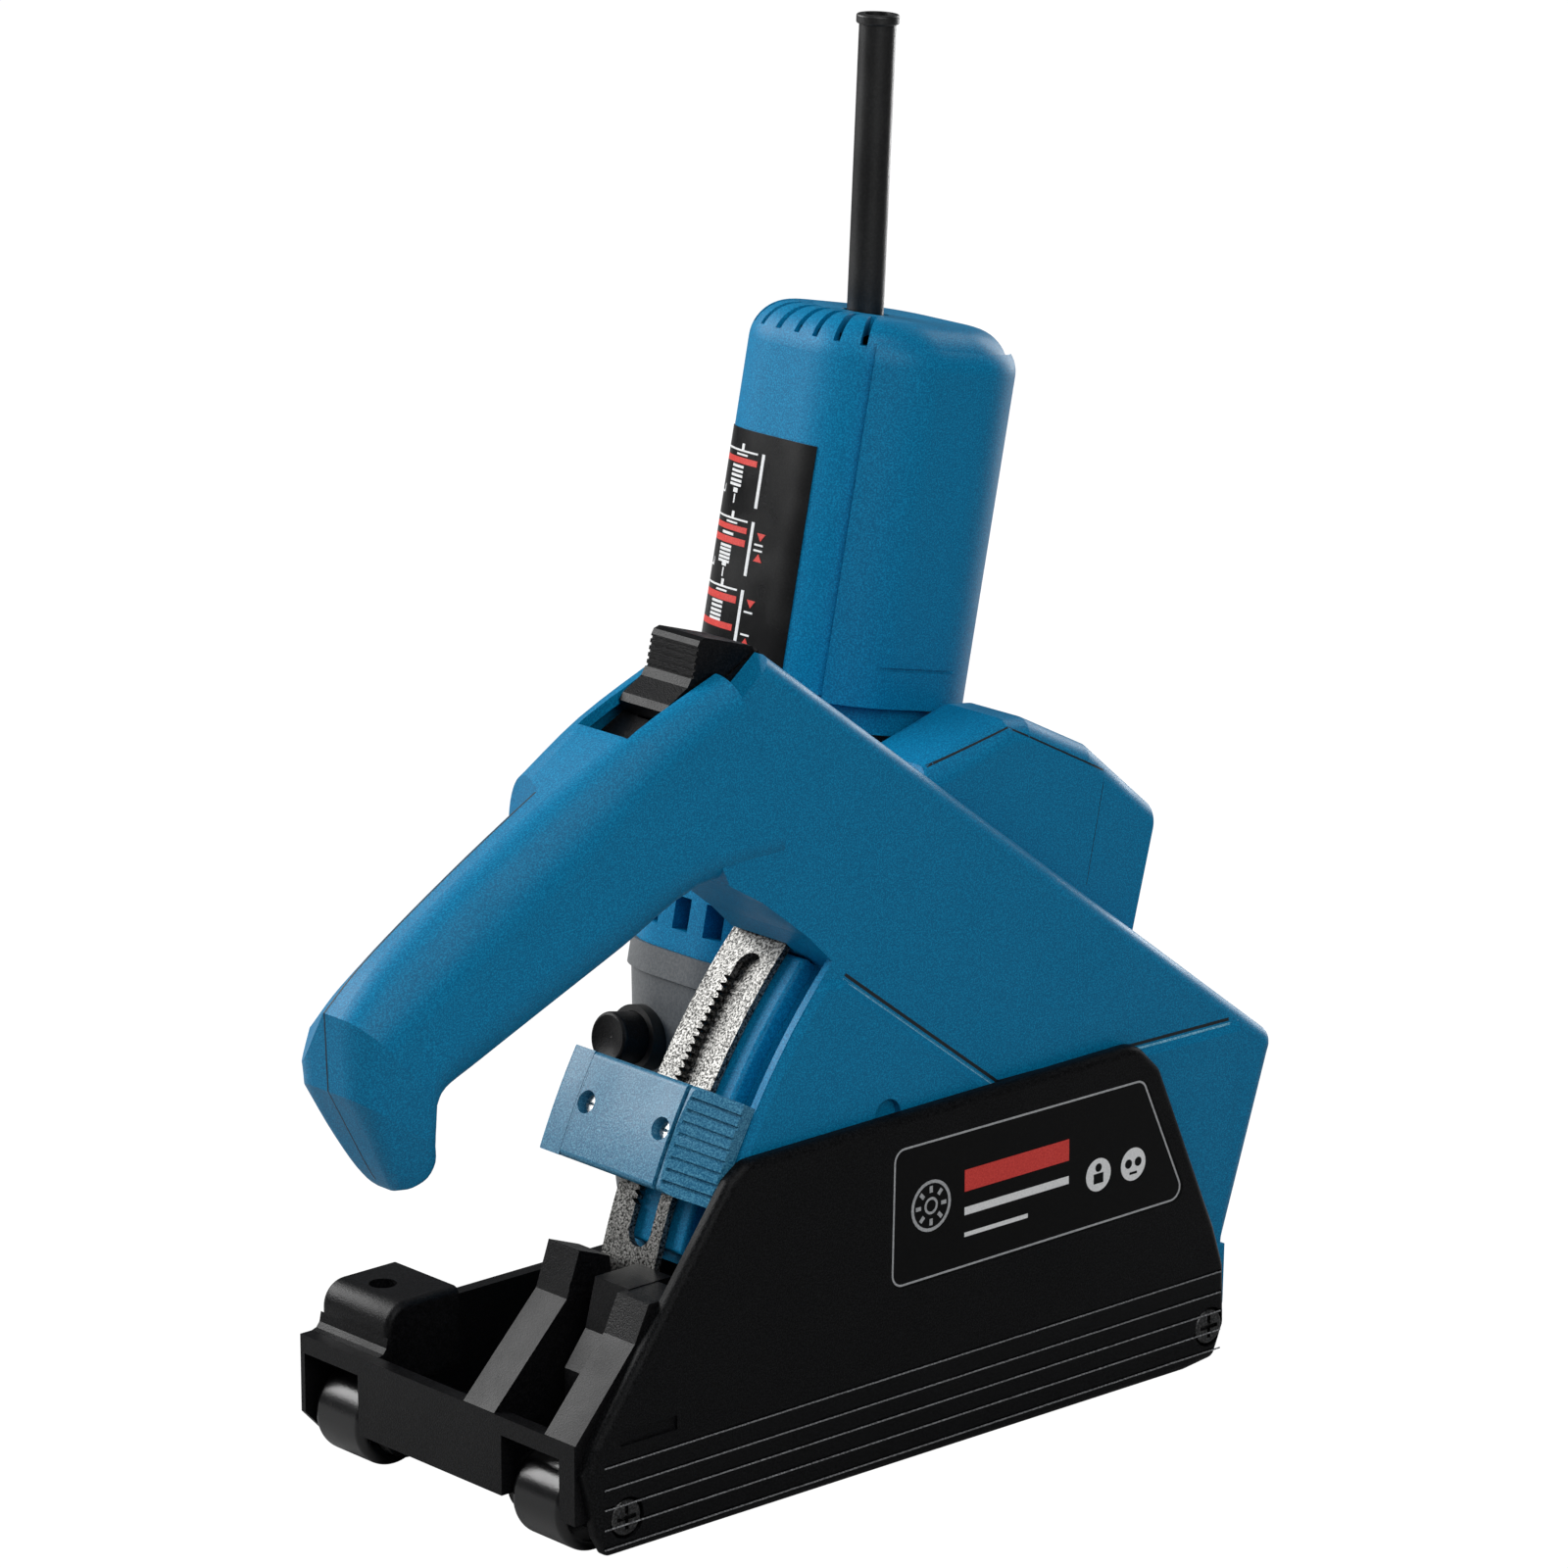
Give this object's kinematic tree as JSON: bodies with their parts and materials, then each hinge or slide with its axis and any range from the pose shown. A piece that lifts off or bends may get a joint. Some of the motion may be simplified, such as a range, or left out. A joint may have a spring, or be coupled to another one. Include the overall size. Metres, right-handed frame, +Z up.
{
  "type": "wall chaser",
  "caption": "Twin-disc wall chaser: motor and hood with handle and dust port pivot on a rolling black base with a toothed depth-stop arc.",
  "frame": {"origin": "under the middle of the machine, on the surface that the rollers stand on", "axes": "+X to the rear roller axle, +Y to the machine's left (motor side), +Z up"},
  "size_m": [0.3152, 0.115, 0.3691],
  "materials": {
    "base_black": "glass-filled black plastic with a fine grain",
    "shell_blue": "moulded blue plastic with a fine grain",
    "stop_blue": "lighter blue moulded plastic",
    "nameplate": "black plate with a silver outline",
    "steel": "bright brushed steel",
    "dark_steel": "blackened steel",
    "roller": "polished black plastic",
    "grey_cast": "grey satin casting",
    "black_plastic": "black plastic",
    "rubber": "black rubber",
    "label": "black printed label",
    "diamond": "steel disc with abrasive rim",
    "copper": "copper",
    "laminated": "stacked steel sheets",
    "brass": "brass",
    "carbon": "carbon",
    "module": "potted module"
  },
  "bodies": {
    "base": {"base_frame": "base_black", "side_cover": "base_black", "nameplate": "nameplate", "front_axle": "steel", "rear_axle": "steel", "axle_screws": "dark_steel", "return_spring": "steel", "depth_rail": "steel", "rail_rivet": "steel"},
    "front_roller_r": {"front_roller_right": "roller"},
    "front_roller_l": {"front_roller_left": "roller"},
    "rear_roller_r": {"rear_roller_right": "roller"},
    "rear_roller_l": {"rear_roller_left": "roller"},
    "depth_stop": {"stop_block": "stop_blue", "stop_end_cap": "stop_blue", "stop_pins": "steel"},
    "release_button": {"stop_button": "stop_blue"},
    "machine": {"hood_shell_right": "shell_blue", "hood_shell_left": "shell_blue", "hood_screws": "dark_steel", "dust_collar": "shell_blue", "rail_guide": "shell_blue", "depth_scale": "steel", "switch_track": "black_plastic", "switch_module": "module", "electronics_module": "module", "gear_housing": "grey_cast", "bearing_flange": "grey_cast", "flange_screws": "dark_steel", "lock_boot": "rubber", "motor_housing": "shell_blue", "motor_panel_right": "shell_blue", "motor_panel_left": "shell_blue", "cable_sleeve": "rubber", "cable_clamp": "black_plastic", "width_label": "label", "rating_label": "label", "field_stator": "laminated", "field_coils": "copper", "spindle_bearing": "steel", "armature_bearings": "steel", "rear_bearing_plate": "black_plastic", "brush_holders": "brass", "carbon_brushes": "carbon"},
    "slide_switch": {"switch_knob": "black_plastic"},
    "spindle_lock": {"lock_button": "black_plastic"},
    "spindle_set": {"spindle": "steel", "locating_flange": "dark_steel", "disc_inner": "diamond", "disc_outer": "diamond", "spacer_rings": "steel", "clamp_nut": "dark_steel", "crown_gear": "dark_steel"},
    "armature": {"armature_shaft": "steel", "armature_core": "laminated", "commutator": "copper", "armature_windings": "copper", "fan": "black_plastic", "pinion": "dark_steel"}
  },
  "joints": [
    {"name": "plunge", "type": "hinge", "parent": "base", "child": "machine", "pos_m": [0.1286, 0, 0.0125], "axis": [0, -1, 0], "range_deg": [0, 12.8], "stiffness_Nm_per_rad": 9, "springref_deg": -34.38},
    {"name": "depth_stop_slide", "type": "hinge", "parent": "base", "child": "depth_stop", "pos_m": [0.1286, 0, 0.0125], "axis": [0, -1, 0], "range_deg": [-12.8, 0]},
    {"name": "stop_release", "type": "slide", "parent": "depth_stop", "child": "release_button", "axis": [0, 1, 0], "range_m": [0, 0.0015], "stiffness_N_per_m": 800, "springref_m": -0.0015},
    {"name": "power_switch", "type": "slide", "parent": "machine", "child": "slide_switch", "axis": [-0.8949, 0, -0.4462], "range_m": [0, 0.008]},
    {"name": "spindle_lock_press", "type": "slide", "parent": "machine", "child": "spindle_lock", "axis": [0.9781, 0, -0.2079], "range_m": [0, 0.0035], "stiffness_N_per_m": 1200, "springref_m": -0.002},
    {"name": "spindle_spin", "type": "hinge", "parent": "machine", "child": "spindle_set", "pos_m": [0.0305, 0, 0.0625], "axis": [0, 1, 0], "continuous": true},
    {"name": "armature_spin", "type": "hinge", "parent": "machine", "child": "armature", "pos_m": [0.0305, 0.02, 0.0625], "axis": [0.2079, 0, 0.9781], "continuous": true},
    {"name": "front_right_roll", "type": "hinge", "parent": "base", "child": "front_roller_r", "pos_m": [-0.0804, -0.036, 0.0125], "axis": [0, 1, 0], "continuous": true},
    {"name": "front_left_roll", "type": "hinge", "parent": "base", "child": "front_roller_l", "pos_m": [-0.0804, 0.04475, 0.0125], "axis": [0, 1, 0], "continuous": true},
    {"name": "rear_right_roll", "type": "hinge", "parent": "base", "child": "rear_roller_r", "pos_m": [0.1286, -0.036, 0.0125], "axis": [0, 1, 0], "continuous": true},
    {"name": "rear_left_roll", "type": "hinge", "parent": "base", "child": "rear_roller_l", "pos_m": [0.1286, 0.04475, 0.0125], "axis": [0, 1, 0], "continuous": true}
  ],
  "couplings": [
    {"joint": "armature_spin", "follows": "spindle_spin", "ratio": 3.25}
  ]
}
